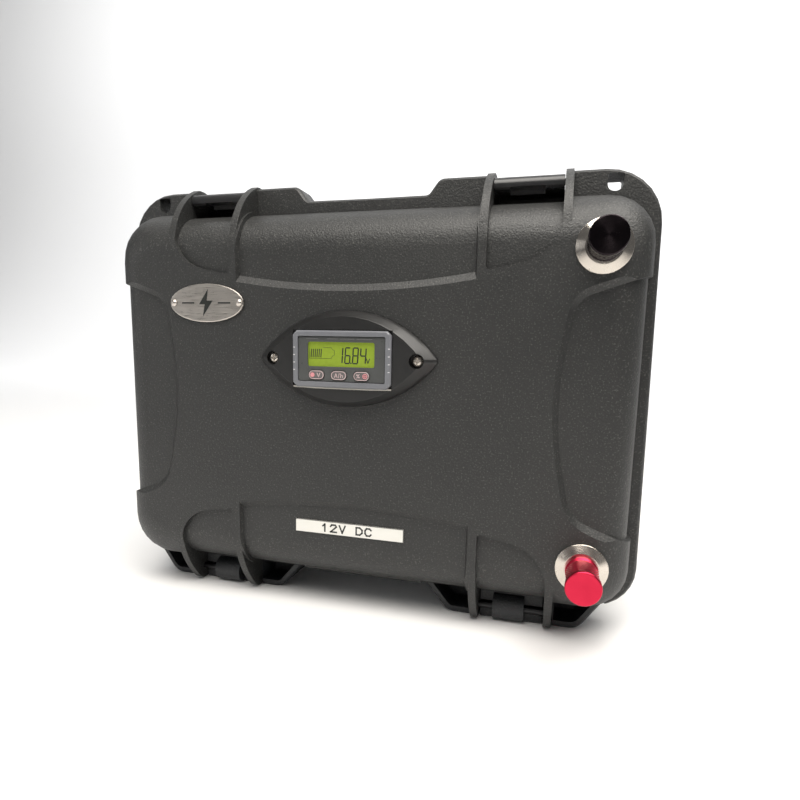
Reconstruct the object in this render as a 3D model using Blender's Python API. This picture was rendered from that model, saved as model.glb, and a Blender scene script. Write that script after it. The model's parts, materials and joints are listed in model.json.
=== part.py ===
"""Deep cycle battery in a latched hard case.

The lid half faces -Y and carries the power terminals and the meter; the deep base half behind it holds the cells.
The case stands upright on its hinge-side feet. Lengths below are millimetres in the case's own frame: x to the right,
y back from the lid's raised face, z up from the middle of the case.
"""

import math

import bmesh
import bpy
from mathutils import Vector

MM = 0.001

# ---------------------------------------------------------------- driving dimensions
CASE_DEPTH = 152.0
KNOB_OUT = 29.2
FEET_Z = -137.6
FACE_Y = (KNOB_OUT - CASE_DEPTH) / 2.0

FLANGE_TOP = 134.5
FLANGE_BOTTOM = -122.0
FLANGE_FRONT_Y = 28.5
LID_BACK_Y = 40.0
BASE_FRONT_Y = 40.3

RAISED_HALF_W = 167.4
RAISED_HALF_H = 119.2
SIDE_ROUNDING = 20.0
END_ROUNDING = 28.5
PANEL_DEPTH = 3.0
PANEL_HALF_W = 165.0
PANEL_HALF_H = 116.6
CAVITY_HALF_W = 157.2
CAVITY_HALF_H = 109.3
WALL_FRONT_Y = 6.4

HINGE_Y = 27.0
HINGE_Z = -128.5
RIB_TOP = ((74.95, 79.45), (118.85, 123.3))
RIB_BOTTOM = ((76.2, 80.85), (121.35, 126.0))

LATCH_Y = 25.3
LATCH_Z = 127.3
HANDLE_Y = 70.0
HANDLE_Z = 125.0

TERMINAL_X = 140.3
TERMINAL_Z = {"negative": 88.0, "positive": -86.7}

METER_X = -1.5
METER_Z = 26.2
METER_W = 61.3
METER_H = 33.3

FOOT_OUTER = {-1: 161.6, 1: 155.4}

BADGE_X = -95.3
BADGE_Z = 59.1

CELL_X0 = -118.0
CELL_PITCH = 50.0


# ---------------------------------------------------------------- small helpers
def world(x, y, z):
    """Case millimetres to metres in the part's frame."""
    return Vector((x * MM, (y + FACE_Y) * MM, (z - FEET_Z) * MM))


def material(name, rgb, metallic, rough):
    mat = bpy.data.materials.new(name)
    mat.use_nodes = True
    shader = mat.node_tree.nodes["Principled BSDF"]
    shader.inputs["Base Color"].default_value = (rgb[0], rgb[1], rgb[2], 1.0)
    shader.inputs["Metallic"].default_value = metallic
    shader.inputs["Roughness"].default_value = rough
    mat.diffuse_color = (rgb[0], rgb[1], rgb[2], 1.0)
    return mat


def finish_mesh(bm, name):
    bmesh.ops.recalc_face_normals(bm, faces=bm.faces)
    mesh = bpy.data.meshes.new(name)
    bm.to_mesh(mesh)
    bm.free()
    return mesh


def solid(name, rings, ring_closed=False):
    """A closed solid lofted through rings of millimetre points, capped at both ends."""
    bm = bmesh.new()
    layers = []
    for ring in rings:
        layers.append([bm.verts.new(p) for p in ring])
    pairs = list(zip(layers[:-1], layers[1:]))
    if ring_closed:
        pairs.append((layers[-1], layers[0]))
    for low, high in pairs:
        n = max(len(low), len(high))
        for i in range(n):
            j = (i + 1) % n
            corner = []
            for v in (low[i % len(low)], low[j % len(low)], high[j % len(high)], high[i % len(high)]):
                if v not in corner:
                    corner.append(v)
            if len(corner) > 2:
                bm.faces.new(corner)
    if not ring_closed:
        for layer in (layers[0], layers[-1]):
            if len(layer) > 2:
                bm.faces.new(layer)
    obj = bpy.data.objects.new(name, finish_mesh(bm, name))
    bpy.context.scene.collection.objects.link(obj)
    return obj


def boolean(target, tools, operation):
    """Applies exact booleans to target with each tool in turn, then removes the tools."""
    for tool in tools:
        tool.hide_render = True
        tool.display_type = "WIRE"
        mod = target.modifiers.new("cut", "BOOLEAN")
        mod.operation = operation
        mod.solver = "EXACT"
        mod.object = tool
        graph = bpy.context.evaluated_depsgraph_get()
        mesh = bpy.data.meshes.new_from_object(target.evaluated_get(graph))
        target.modifiers.clear()
        target.data = mesh
        bpy.data.objects.remove(tool, do_unlink=True)
    return target


def cut(target, *tools):
    return boolean(target, tools, "DIFFERENCE")


def add(target, *tools):
    return boolean(target, tools, "UNION")


def complete(obj, mat, origin=None, sharp=35.0):
    """Cleans the mesh, turns it into metres about a joint axis if one is given, and shades it."""
    bm = bmesh.new()
    bm.from_mesh(obj.data)
    bmesh.ops.remove_doubles(bm, verts=bm.verts, dist=0.002)
    bmesh.ops.dissolve_degenerate(bm, edges=bm.edges, dist=0.002)
    bmesh.ops.dissolve_limit(bm, angle_limit=math.radians(0.3), verts=bm.verts, edges=bm.edges)
    bmesh.ops.triangulate(bm, faces=bm.faces, quad_method="BEAUTY", ngon_method="BEAUTY")
    at = world(*origin) if origin is not None else Vector((0.0, 0.0, 0.0))
    for v in bm.verts:
        v.co = world(*v.co) - at
    mesh = bpy.data.meshes.new(obj.name)
    bm.to_mesh(mesh)
    bm.free()
    mesh.shade_smooth()
    mesh.set_sharp_from_angle(angle=math.radians(sharp))
    obj.data = mesh
    obj.location = at
    mesh.materials.append(mat)
    return obj


def fillet(points, radii, seg=5):
    """A closed outline with each corner rounded by its own radius."""
    out = []
    n = len(points)
    for i in range(n):
        p = Vector(points[i])
        r = radii[i] if isinstance(radii, (list, tuple)) else radii
        if r <= 0.0:
            out.append((p.x, p.y))
            continue
        a = (Vector(points[i - 1]) - p).normalized()
        b = (Vector(points[(i + 1) % n]) - p).normalized()
        half = a.angle(b) / 2.0
        reach = r / math.tan(half)
        centre = p + (a + b).normalized() * (r / math.sin(half))
        start = p + a * reach - centre
        stop = p + b * reach - centre
        a0 = math.atan2(start.y, start.x)
        turn = math.atan2(stop.y, stop.x) - a0
        while turn > math.pi:
            turn -= 2.0 * math.pi
        while turn < -math.pi:
            turn += 2.0 * math.pi
        for k in range(seg + 1):
            t = a0 + turn * k / seg
            out.append((centre.x + r * math.cos(t), centre.y + r * math.sin(t)))
    return out


def arc3(p0, p1, p2, n):
    """n + 1 points on the circle from p0 through p1 to p2."""
    ax, ay = p0
    bx, by = p1
    cx, cy = p2
    d = 2.0 * (ax * (by - cy) + bx * (cy - ay) + cx * (ay - by))
    ux = ((ax * ax + ay * ay) * (by - cy) + (bx * bx + by * by) * (cy - ay) + (cx * cx + cy * cy) * (ay - by)) / d
    uy = ((ax * ax + ay * ay) * (cx - bx) + (bx * bx + by * by) * (ax - cx) + (cx * cx + cy * cy) * (bx - ax)) / d
    r = math.hypot(ax - ux, ay - uy)
    t0 = math.atan2(ay - uy, ax - ux)
    turn = math.atan2(cy - uy, cx - ux) - t0
    middle = math.atan2(by - uy, bx - ux) - t0
    full = 2.0 * math.pi
    if not 0.0 < middle % full < turn % full:
        turn = turn % full - full
    else:
        turn = turn % full
    return [(ux + r * math.cos(t0 + turn * k / n), uy + r * math.sin(t0 + turn * k / n)) for k in range(n + 1)]


def offset(points, d):
    """The closed outline moved inwards by d, mitred at its corners."""
    area = sum(p[0] * q[1] - q[0] * p[1] for p, q in zip(points, points[1:] + points[:1]))
    side = 1.0 if area > 0 else -1.0
    out = []
    n = len(points)
    for i in range(n):
        p = Vector(points[i])
        e0 = (p - Vector(points[i - 1])).normalized()
        e1 = (Vector(points[(i + 1) % n]) - p).normalized()
        n0 = Vector((-e0.y, e0.x)) * side
        n1 = Vector((-e1.y, e1.x)) * side
        m = (n0 + n1).normalized()
        out.append(tuple(p + m * (d / max(0.4, m.dot(n0)))))
    return out


def along_y(name, outline, y0, y1):
    return solid(name, [[(x, y0, z) for x, z in outline], [(x, y1, z) for x, z in outline]])


def along_x(name, outline, x0, x1):
    return solid(name, [[(x0, y, z) for y, z in outline], [(x1, y, z) for y, z in outline]])


def along_z(name, outline, z0, z1):
    return solid(name, [[(x, y, z0) for x, y in outline], [(x, y, z1) for x, y in outline]])


def box(name, x0, x1, y0, y1, z0, z1):
    return along_y(name, [(x0, z0), (x1, z0), (x1, z1), (x0, z1)], y0, y1)


def rounded(x0, x1, z0, z1, r, seg=5):
    return fillet([(x0, z0), (x1, z0), (x1, z1), (x0, z1)], r, seg)


def circle(cx, cz, r, seg):
    return [(cx + r * math.cos(2 * math.pi * k / seg), cz + r * math.sin(2 * math.pi * k / seg)) for k in range(seg)]


def turned(name, axis, a, b, profile, seg=32, closed=False):
    """A turned solid. profile is (station, radius) along the axis; a and b are the other two coordinates."""
    rings = []
    for s, r in profile:
        ring = []
        for k in range(seg if r > 0 else 1):
            t = 2.0 * math.pi * k / seg
            u, v = a + r * math.cos(t), b + r * math.sin(t)
            ring.append({"x": (s, u, v), "y": (u, s, v), "z": (u, v, s)}[axis])
        rings.append(ring)
    return solid(name, rings, closed)


def tube(name, path, r, seg=10):
    """A round cable of radius r along a smooth path."""
    pts = [Vector(p) for p in path]
    rings = []
    side = None
    for i, p in enumerate(pts):
        ahead = (pts[min(i + 1, len(pts) - 1)] - pts[max(i - 1, 0)]).normalized()
        if side is None:
            side = ahead.cross(Vector((0.3, 0.9, 0.2))).normalized()
        side = (side - ahead * side.dot(ahead)).normalized()
        up = ahead.cross(side)
        ring = []
        for k in range(seg):
            t = 2.0 * math.pi * k / seg
            ring.append(tuple(p + side * (r * math.cos(t)) + up * (r * math.sin(t))))
        rings.append(ring)
    return solid(name, rings)


def bend(knots, r, seg=5):
    """A polyline in space with each inner corner turned into an arc of radius r."""
    pts = [Vector(k) for k in knots]
    out = [tuple(pts[0])]
    for i in range(1, len(pts) - 1):
        p = pts[i]
        a = (pts[i - 1] - p).normalized()
        b = (pts[i + 1] - p).normalized()
        half = a.angle(b) / 2.0
        reach = r / math.tan(half)
        centre = p + (a + b).normalized() * (r / math.sin(half))
        u = (p + a * reach - centre).normalized()
        v = (p + b * reach - centre).normalized()
        total = u.angle(v)
        w = (v - u * u.dot(v)).normalized()
        for k in range(seg + 1):
            t = total * k / seg
            out.append(tuple(centre + (u * math.cos(t) + w * math.sin(t)) * r))
    out.append(tuple(pts[-1]))
    return out


def quarter(depth, r):
    """How far a rounded edge of radius r is set in at this depth below its face."""
    if depth >= r:
        return 0.0
    return r - math.sqrt(r * r - (r - depth) ** 2)


# ---------------------------------------------------------------- clear the scene
for old in list(bpy.data.objects):
    bpy.data.objects.remove(old, do_unlink=True)

case_black = material("case_black", (0.035, 0.036, 0.038), 0.0, 0.5)
lid_black = material("lid_black", (0.035, 0.036, 0.038), 0.0, 0.5)
latch_black = material("latch_black", (0.04, 0.04, 0.042), 0.0, 0.35)
handle_black = material("handle_black", (0.03, 0.03, 0.032), 0.0, 0.45)
bezel_black = material("bezel_black", (0.02, 0.02, 0.021), 0.0, 0.25)
valve_black = material("valve_black", (0.03, 0.03, 0.03), 0.0, 0.4)
rubber_black = material("rubber_black", (0.015, 0.015, 0.015), 0.0, 0.8)
steel = material("pin_steel", (0.06, 0.06, 0.062), 1.0, 0.4)
stainless = material("turned_stainless", (0.72, 0.69, 0.65), 1.0, 0.22)
zinc = material("zinc_steel", (0.6, 0.6, 0.6), 1.0, 0.35)
red_alu = material("red_anodised", (0.75, 0.05, 0.08), 0.6, 0.35)
black_alu = material("black_anodised", (0.03, 0.03, 0.032), 0.6, 0.3)
meter_grey = material("meter_grey", (0.35, 0.36, 0.38), 0.0, 0.3)
face_grey = material("faceplate_grey", (0.1, 0.1, 0.11), 0.0, 0.35)
lcd_green = material("lcd_green", (0.45, 0.55, 0.12), 0.0, 0.2)
button_grey = material("button_grey", (0.3, 0.26, 0.26), 0.0, 0.45)
badge_steel = material("badge_steel", (0.75, 0.72, 0.68), 1.0, 0.3)
label_white = material("label_white", (0.85, 0.84, 0.8), 0.0, 0.5)
foam_grey = material("foam_grey", (0.06, 0.06, 0.065), 0.0, 0.95)
cell_blue = material("cell_blue", (0.03, 0.12, 0.4), 0.0, 0.4)
plate_glass = material("end_plate", (0.2, 0.35, 0.2), 0.0, 0.5)
copper = material("copper_bar", (0.8, 0.4, 0.25), 1.0, 0.3)
brass = material("shunt_brass", (0.75, 0.6, 0.3), 1.0, 0.35)
board_green = material("bms_case", (0.05, 0.05, 0.055), 0.0, 0.4)
fuse_body = material("fuse_body", (0.6, 0.12, 0.05), 0.0, 0.4)
cable_red = material("cable_red", (0.6, 0.02, 0.02), 0.0, 0.5)
cable_black = material("cable_black", (0.02, 0.02, 0.02), 0.0, 0.5)
cable_grey = material("cable_grey", (0.2, 0.2, 0.2), 0.0, 0.5)


# ---------------------------------------------------------------- outlines shared by both halves
def flange_outline():
    """The outline of the rim that runs round both halves, with the hand notch in its top edge."""
    half = [(0.0, FLANGE_BOTTOM), (173.9, -121.2), (171.0, FLANGE_TOP), (46.3, FLANGE_TOP), (39.4, 125.4), (0.0, 125.2)]
    radii = [0.0, 26.0, 31.0, 6.0, 4.0, 0.0]
    mirror = [(-x, z) for x, z in reversed(half[1:-1])]
    pts = half + mirror
    rad = radii + list(reversed(radii[1:-1]))
    return fillet(pts, rad, 7)


def body_ring(y, hx, hz, r, seg=6):
    return [(x, y, z) for x, z in rounded(-hx, hx, -hz, hz, r, seg)]


def raised_ring(y, depth):
    """Outline of the lid's raised level at this depth under its face."""
    ix = quarter(depth, SIDE_ROUNDING)
    iz = quarter(depth, END_ROUNDING)
    return body_ring(y, RAISED_HALF_W - ix, RAISED_HALF_H - iz, 26.0 - 0.22 * (ix + iz))


# ---------------------------------------------------------------- lid shell
def side_recess(sign, inner):
    """The recessed panel at one end of the lid: its outline on the face, or 4 mm further in at the panel's depth."""
    if inner:
        pts = [(176.0, 77.6), (129.4, 61.4), (119.6, 3.0), (131.7, -58.6), (176.0, -76.0)]
        radii = [0.0, 12.0, 180.0, 20.0, 0.0]
    else:
        pts = [(176.0, 81.6), (126.2, 64.4), (116.0, 3.0), (129.6, -61.5), (176.0, -81.0)]
        radii = [0.0, 16.0, 180.0, 24.0, 0.0]
    path = fillet(pts, radii, 6)
    return [(sign * x, z) for x, z in path]


def end_recess(sign, inner):
    """The recessed panel along the top (sign 1) or bottom edge between the two inner ribs."""
    lift = 4.3 if inner else 0.0
    width = 73.6 if inner else 74.8
    if sign < 0:
        width += 0.8
        lift -= 3.4
    band = arc3((-width, 72.0 + lift), (0.0, 66.0 + lift), (width, 72.0 + lift), 10)
    return [(x, sign * z) for x, z in [(-width, 126.0)] + band + [(width, 126.0)]]


def pocket(side, sign):
    """The D-shaped pocket between an inner and an outer rib."""
    inner, outer, low = (79.6, 119.6, 76.8) if sign > 0 else (81.0, 121.2, 73.3)
    pts = [(inner, 126.0), (inner, low), (outer, low + 7.6), (outer, 126.0)]
    path = fillet(pts, [0.0, 2.0, 25.0, 0.0], 7)
    return [(side * x, sign * z) for x, z in path]


def recess_tool(name, outline, deeper):
    rings = [[(x, -4.0, z) for x, z in outline], [(x, 0.0, z) for x, z in outline]]
    rings += [[(x, PANEL_DEPTH + 0.06, z) for x, z in deeper], [(x, 27.9, z) for x, z in deeper]]
    return solid(name, rings)


def rib_outline_top():
    front = arc3((0.8, 95.0), (9.2, 118.3), (27.6, 134.4), 12)
    tip = [(29.2, 135.3), (31.0, 135.6), (36.0, 135.6), (38.2, 135.2), (LID_BACK_Y - 0.2, 133.8)]
    inside = [(LID_BACK_Y - 0.2, 112.4), (16.0, 112.4), (9.5, 108.6), (4.6, 101.6), (2.6, 95.0)]
    return front + tip + inside


def rib_outline_bottom():
    front = arc3((0.8, -92.0), (7.4, -115.4), (19.3, -132.9), 9)
    eye = arc3((20.2, -133.9), (27.0, -137.1), (35.2, -131.0), 8)
    inside = [(35.6, -128.5), (35.6, -112.0), (16.0, -112.0), (9.5, -108.2), (4.6, -101.0), (2.6, -92.0)]
    return front + eye + inside


def make_lid():
    depths = [0.0, 0.35, 1.3, 3.0, 5.6, 9.4, 14.7, 20.0, 28.5, 31.0]
    lid = solid("front_shell", [raised_ring(d, d) for d in depths])
    tools = []
    for sign in (-1, 1):
        tools.append(recess_tool("end_tool", end_recess(sign, False), end_recess(sign, True)))
        tools.append(recess_tool("side_tool", side_recess(sign, False), side_recess(sign, True)))
        for side in (-1, 1):
            edge = pocket(side, sign)
            tools.append(recess_tool("pocket_tool", edge, edge))
    cut(lid, *tools)
    panel = []
    for d in depths[:-2] + [25.5, 28.7]:
        ix = quarter(d, SIDE_ROUNDING - PANEL_DEPTH)
        iz = quarter(d, END_ROUNDING - PANEL_DEPTH)
        panel.append(body_ring(d + PANEL_DEPTH, PANEL_HALF_W - ix, PANEL_HALF_H - iz, 24.0 - 0.22 * (ix + iz)))
    add(lid, solid("panel_level", panel))
    for z in TERMINAL_Z.values():
        add(lid, turned("terminal_seat", "y", TERMINAL_X, z, [(0.06, 13.2), (6.0, 13.6)], 28))
    outline = flange_outline()
    rings = []
    for y, d in ((FLANGE_FRONT_Y, 1.8), (29.3, 0.8), (31.0, 0.0), (LID_BACK_Y, 0.0)):
        rings.append([(x, y, z) for x, z in (offset(outline, d) if d else outline)])
    rim = solid("rim", rings)
    add(lid, rim)
    for side in (-1, 1):
        gap = [(40.6, -126.0), (42.4, -117.9), (FOOT_OUTER[side] + 1.6, -117.9), (FOOT_OUTER[side] + 2.0, -126.0)]
        gap = fillet(gap, [0.0, 1.5, 0.0, 0.0], 3)
        cut(lid, along_y("foot_gap", [(side * x, z) for x, z in gap], 28.05, 42.0))
    for side in (-1, 1):
        for lo, hi in RIB_TOP:
            add(lid, along_x("rib", rib_outline_top(), side * lo, side * hi))
        for lo, hi in RIB_BOTTOM:
            add(lid, along_x("rib", rib_outline_bottom(), side * lo, side * hi))
    cavity = []
    insets = ((WALL_FRONT_Y, 7.0, 11.0), (7.2, 4.2, 8.0), (9.4, 1.7, 4.5), (13.0, 0.4, 1.6), (17.0, 0.0, 0.0), (42.0, 0.0, 0.0))
    for y, dx, dz in insets:
        cavity.append(body_ring(y, CAVITY_HALF_W - dx, CAVITY_HALF_H - dz, 17.0 - 0.25 * (dx + dz)))
    tools = [solid("cavity", cavity)]
    for side in (-1, 1):
        lo, hi = sorted((side * 79.5, side * 118.8))
        tools.append(box("latch_gap", lo, hi, 27.5, 42.0, 117.4, 140.0))
        tools.append(along_y("padlock_eye", padlock_outline(side), 27.0, 42.0))
        lo, hi = sorted((side * 76.0, side * 122.2))
        tools.append(turned("latch_bore", "x", LATCH_Y, LATCH_Z, [(lo, 2.1), (hi, 2.1)], 16))
        lo, hi = sorted((side * 77.4, side * 124.8))
        tools.append(turned("hinge_bore", "x", HINGE_Y, HINGE_Z, [(lo, 2.4), (hi, 2.4)], 16))
        tools.append(turned("bezel_bore", "y", METER_X + side * 45.0, METER_Z, [(-2.0, 1.9), (8.0, 1.9)], 12))
        tools.append(turned("rivet_bore", "y", BADGE_X + side * 23.4, BADGE_Z, [(-2.0, 1.3), (4.4, 1.3)], 12))
    for z in TERMINAL_Z.values():
        tools.append(turned("terminal_bore", "y", TERMINAL_X, z, [(-2.0, 4.3), (9.0, 4.3)], 20))
    tools.append(box("meter_hole", METER_X - 29.2, METER_X + 29.2, -3.0, 9.0, METER_Z - 15.2, METER_Z + 15.2))
    cut(lid, *tools)
    return complete(lid, lid_black, (0.0, HINGE_Y, HINGE_Z), 30.0)


def padlock_outline(side):
    cx = side * 145.5
    pts = [(cx - 4.4, 131.4), (cx + 4.4, 131.4), (cx + 4.0, 122.0), (cx - 4.0, 122.0)]
    return fillet(pts, [1.0, 1.0, 3.7, 3.7], 4)


# ---------------------------------------------------------------- base shell
def bracket_outline(side, d):
    """A foot seen from the front, set in by d."""
    outer = FOOT_OUTER[side]
    pts = [(44.0, -118.3), (60.4, FEET_Z), (outer - 13.4, FEET_Z), (outer, -118.3)]
    pts = [(side * x, z) for x, z in pts]
    shape = fillet(pts, [0.0, 9.0, 11.0, 0.0], 7)
    return offset(shape, d) if d else shape


def make_base():
    rings = []
    for y, d in ((44.0, 0.0), (90.0, 0.9), (140.0, 1.8)):
        rings.append(body_ring(y, 164.2 - d, 117.2 - d, 22.0))
    for y in (142.0, 145.5, 149.0, 151.2, CASE_DEPTH):
        i = quarter(CASE_DEPTH - y, 12.0)
        rings.append(body_ring(y, 162.4 - i, 115.4 - i, 22.0 - 0.6 * i))
    base = solid("rear_shell", rings)
    rim = flange_outline()
    shape = []
    for y, d in ((BASE_FRONT_Y, 0.0), (46.0, 0.0), (47.6, 1.2)):
        shape.append([(x, y, z) for x, z in (offset(rim, d) if d else rim)])
    add(base, solid("rim", shape))
    for side in (-1, 1):
        rings = []
        for y, d in ((28.3, 1.2), (29.6, 0.0), (61.0, 0.0), (62.0, 1.0)):
            rings.append([(x, y, z) for x, z in bracket_outline(side, d)])
        foot = solid("foot", rings)
        hollow_in = fillet([(48.8, -118.0), (61.9, -133.4), (75.2, -133.4), (75.2, -118.0)], [0.0, 5.0, 0.0, 0.0], 4)
        edge = FOOT_OUTER[side] - 4.4
        hollow_out = fillet([(127.4, -118.0), (127.4, -133.4), (edge - 10.7, -133.4), (edge, -118.0)], [0.0, 0.0, 7.0, 0.0], 4)
        tools = [along_y("hollow", [(side * x, z) for x, z in hollow], 26.0, 47.0) for hollow in (hollow_in, hollow_out)]
        for lo, hi in ((75.5, 81.7), (120.5, 126.7)):
            lo, hi = sorted((side * lo, side * hi))
            tools.append(box("rib_slot", lo, hi, 26.0, 36.4, -140.0, -110.0))
        for lo, hi in ((81.0, 90.1), (109.3, 121.0)):
            lo, hi = sorted((side * lo, side * hi))
            tools.append(box("hinge_notch", lo, hi, 26.0, 45.0, -131.6, -126.0))
        cut(foot, *tools)
        lo, hi = sorted((side * 64.0, side * 138.0))
        add(foot, box("web", lo, hi, 48.0, 61.2, -119.2, -115.4))
        eye = arc3((34.0, -121.9), (20.4, -128.5), (34.0, -135.1), 10)
        lo, hi = sorted((side * 90.0, side * 109.4))
        add(foot, along_x("knuckle", eye, lo, hi))
        add(base, foot)
        rear = fillet([(64.0, -112.0), (68.0, FEET_Z), (136.0, FEET_Z), (140.0, -112.0)], [0.0, 4.0, 4.0, 0.0], 3)
        block = along_y("rear_foot", [(side * x, z) for x, z in rear], 116.0, 143.0)
        lo, hi = sorted((side * 73.0, side * 131.0))
        cut(block, box("rear_hollow", lo, hi, 120.0, 139.0, -140.0, -119.0))
        add(base, block)
        lo, hi = sorted((side * 60.0, side * 66.6))
        ear = [(58.0, 114.0), (82.0, 114.0), (77.6, 127.0), (73.0, 131.2), (67.0, 131.2), (62.4, 127.0)]
        add(base, along_x("handle_ear", fillet(ear, [0.0, 0.0, 3.0, 3.0, 3.0, 3.0], 3), lo, hi))
        lo, hi = sorted((side * 84.0, side * 114.0))
        keeper = fillet([(46.5, 114.0), (52.6, 114.0), (52.0, 117.9), (47.2, 117.9)], [0.0, 0.0, 0.5, 0.5], 2)
        add(base, along_x("keeper", keeper, lo, hi))
    add(base, turned("valve_boss", "x", 84.0, 70.0, [(158.0, 12.0), (164.4, 12.0), (165.0, 11.4)], 28))
    inside = []
    for y, hx, hz in ((38.0, 157.2, 109.3), (44.5, 157.2, 109.3), (47.5, 160.0, 112.6), (139.0, 158.8, 111.4)):
        inside.append(body_ring(y, hx, hz, 17.0))
    inside.append(body_ring(146.0, 156.6, 109.2, 16.0))
    inside.append(body_ring(148.4, 151.0, 103.6, 12.0))
    tools = [solid("cavity", inside)]
    groove = [[(x, y, z) for x, z in rounded(-h, h, -v, v, r, 6)] for y, h, v, r in (
        (38.0, 163.1, 114.7, 21.0), (43.2, 163.1, 114.7, 21.0), (43.2, 160.3, 111.9, 18.2), (38.0, 160.3, 111.9, 18.2))]
    tools.append(solid("groove", groove, True))
    for side in (-1, 1):
        lo, hi = sorted((side * 79.5, side * 118.8))
        tools.append(box("latch_gap", lo, hi, 38.0, 49.0, 117.4, 140.0))
        tools.append(along_y("padlock_eye", padlock_outline(side), 38.0, 50.0))
        lo, hi = sorted((side * 88.0, side * 111.0))
        tools.append(turned("hinge_bore", "x", HINGE_Y, HINGE_Z, [(lo, 2.4), (hi, 2.4)], 16))
        lo, hi = sorted((side * 58.0, side * 68.0))
        tools.append(turned("handle_bore", "x", HANDLE_Y, HANDLE_Z, [(lo, 2.3), (hi, 2.3)], 16))
    tools.append(turned("valve_bore", "x", 84.0, 70.0, [(156.0, 3.4), (167.0, 3.4)], 16))
    keepers = []
    for side in (-1, 1):
        lo, hi = sorted((side * 84.0, side * 114.0))
        keepers.append(box("keeper", lo, hi, 47.2, 52.0, 114.6, 117.9))
    cut(base, *tools)
    add(base, *keepers)
    return complete(base, case_black, None, 30.0)


def make_gasket():
    ring = [[(x, y, z) for x, z in rounded(-h, h, -v, v, r, 6)] for y, h, v, r in (
        (40.5, 162.3, 113.9, 20.2), (42.9, 162.8, 114.4, 20.7), (42.9, 160.6, 112.2, 18.5), (40.5, 161.1, 112.7, 19.0))]
    return complete(solid("rim_gasket", ring, True), rubber_black)


# ---------------------------------------------------------------- latches, pins, handle, valve
def make_latch(side, name):
    outline = [(21.6, 123.7), (20.3, 124.8), (20.0, 126.6), (20.5, 128.6), (22.0, 130.4), (24.4, 131.2)]
    outline += [(38.0, 131.6), (48.6, 131.2), (53.6, 129.8), (56.4, 126.6), (56.8, 122.6), (56.2, 118.9)]
    outline += [(54.6, 118.3), (53.4, 118.9), (53.2, 125.2), (51.6, 126.8), (29.6, 126.8), (28.2, 123.7)]
    lo, hi = sorted((side * 79.75, side * 118.55))
    latch = along_x(name, outline, lo, hi)
    lo, hi = sorted((side * 88.5, side * 107.9))
    tongue = along_x("tongue", [(29.2, 128.0), (29.6, 122.6), (31.2, 122.4), (33.0, 128.0)], lo, hi)
    nlo, nhi = sorted((side * 88.4, side * 108.8))
    notch = along_y("notch", fillet([(nlo, 120.0), (nhi, 120.0), (nhi, 124.9), (nlo, 124.9)], [0.0, 0.0, 1.4, 1.4], 3), 18.0, 28.8)
    cut(latch, notch)
    add(latch, tongue)
    blo, bhi = sorted((side * 79.0, side * 119.0))
    cut(latch, turned("bore", "x", LATCH_Y, LATCH_Z, [(blo, 2.1), (bhi, 2.1)], 16))
    scoop = solid("scoop", [
        [(side * x, y, 136.0) for x, y in fillet([(86.0, 27.5), (112.3, 27.5), (112.3, 47.0), (86.0, 47.0)], 3.0, 3)],
        [(side * x, y, 130.3) for x, y in fillet([(88.0, 29.5), (110.3, 29.5), (110.3, 45.0), (88.0, 45.0)], 2.0, 3)]])
    cut(latch, scoop)
    return complete(latch, latch_black, (side * 99.15, LATCH_Y, LATCH_Z), 35.0)


def make_latch_guard(side, name):
    """The wall bonded behind and beside a latch's hook, which keeps the hook from being knocked open."""
    cheek = fillet([(47.8, 117.5), (61.1, 117.5), (61.1, 131.6), (47.8, 131.6)], [0.0, 0.0, 3.0, 0.0], 3)
    lo, hi = sorted((side * 74.95, side * 79.45))
    guard = along_x(name, cheek, lo, hi)
    lo, hi = sorted((side * 118.85, side * 123.3))
    add(guard, along_x("cheek", cheek, lo, hi))
    lo, hi = sorted((side * 77.0, side * 121.0))
    add(guard, box("wall", lo, hi, 58.7, 61.0, 117.55, 131.5))
    return complete(guard, case_black, None, 30.0)


def make_pin(name, y, z, x0, x1, r):
    lo, hi = sorted((x0, x1))
    profile = [(lo, r - 0.3), (lo + 0.3, r), (hi - 0.3, r), (hi, r - 0.3)]
    return complete(turned(name, "x", y, z, profile, 20), steel)


def make_handle():
    outer = fillet([(-59.4, 64.2), (59.4, 64.2), (59.4, 113.0), (-59.4, 113.0)], [4.0, 4.0, 15.0, 15.0], 5)
    rings = []
    for z, d in ((119.6, 2.2), (121.4, 0.3), (123.0, 0.0), (127.4, 0.0), (129.2, 0.5), (130.6, 2.2)):
        rings.append([(x, y, z) for x, y in (offset(outer, d) if d else outer)])
    handle = solid("carry_handle", rings)
    inner = fillet([(-51.6, 55.0), (51.6, 55.0), (51.6, 98.6), (-51.6, 98.6)], [0.0, 0.0, 9.0, 9.0], 5)
    rings = []
    for z, d in ((118.0, -2.4), (120.0, -0.8), (122.4, 0.0), (127.8, 0.0), (130.0, -0.8), (132.0, -2.4)):
        rings.append([(x, y, z) for x, y in (offset(inner, d) if d else inner)])
    cut(handle, solid("hand_gap", rings))
    for side in (-1, 1):
        lo, hi = sorted((side * 53.4, side * 61.0))
        cut(handle, turned("bore", "x", HANDLE_Y, HANDLE_Z, [(lo, 2.3), (hi, 2.3)], 16))
    return complete(handle, handle_black, (0.0, HANDLE_Y, HANDLE_Z), 35.0)


def make_valve():
    profile = [(161.4, 3.0), (165.3, 3.0), (165.3, 10.4), (168.6, 10.4), (169.4, 9.6)]
    cap = turned("purge_valve", "x", 84.0, 70.0, profile, 28)
    grip = fillet([(82.4, 62.0), (85.6, 62.0), (85.6, 78.0), (82.4, 78.0)], 1.2, 3)
    add(cap, along_x("grip", grip, 168.4, 171.6))
    return complete(cap, valve_black, (165.3, 84.0, 70.0), 35.0)


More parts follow.
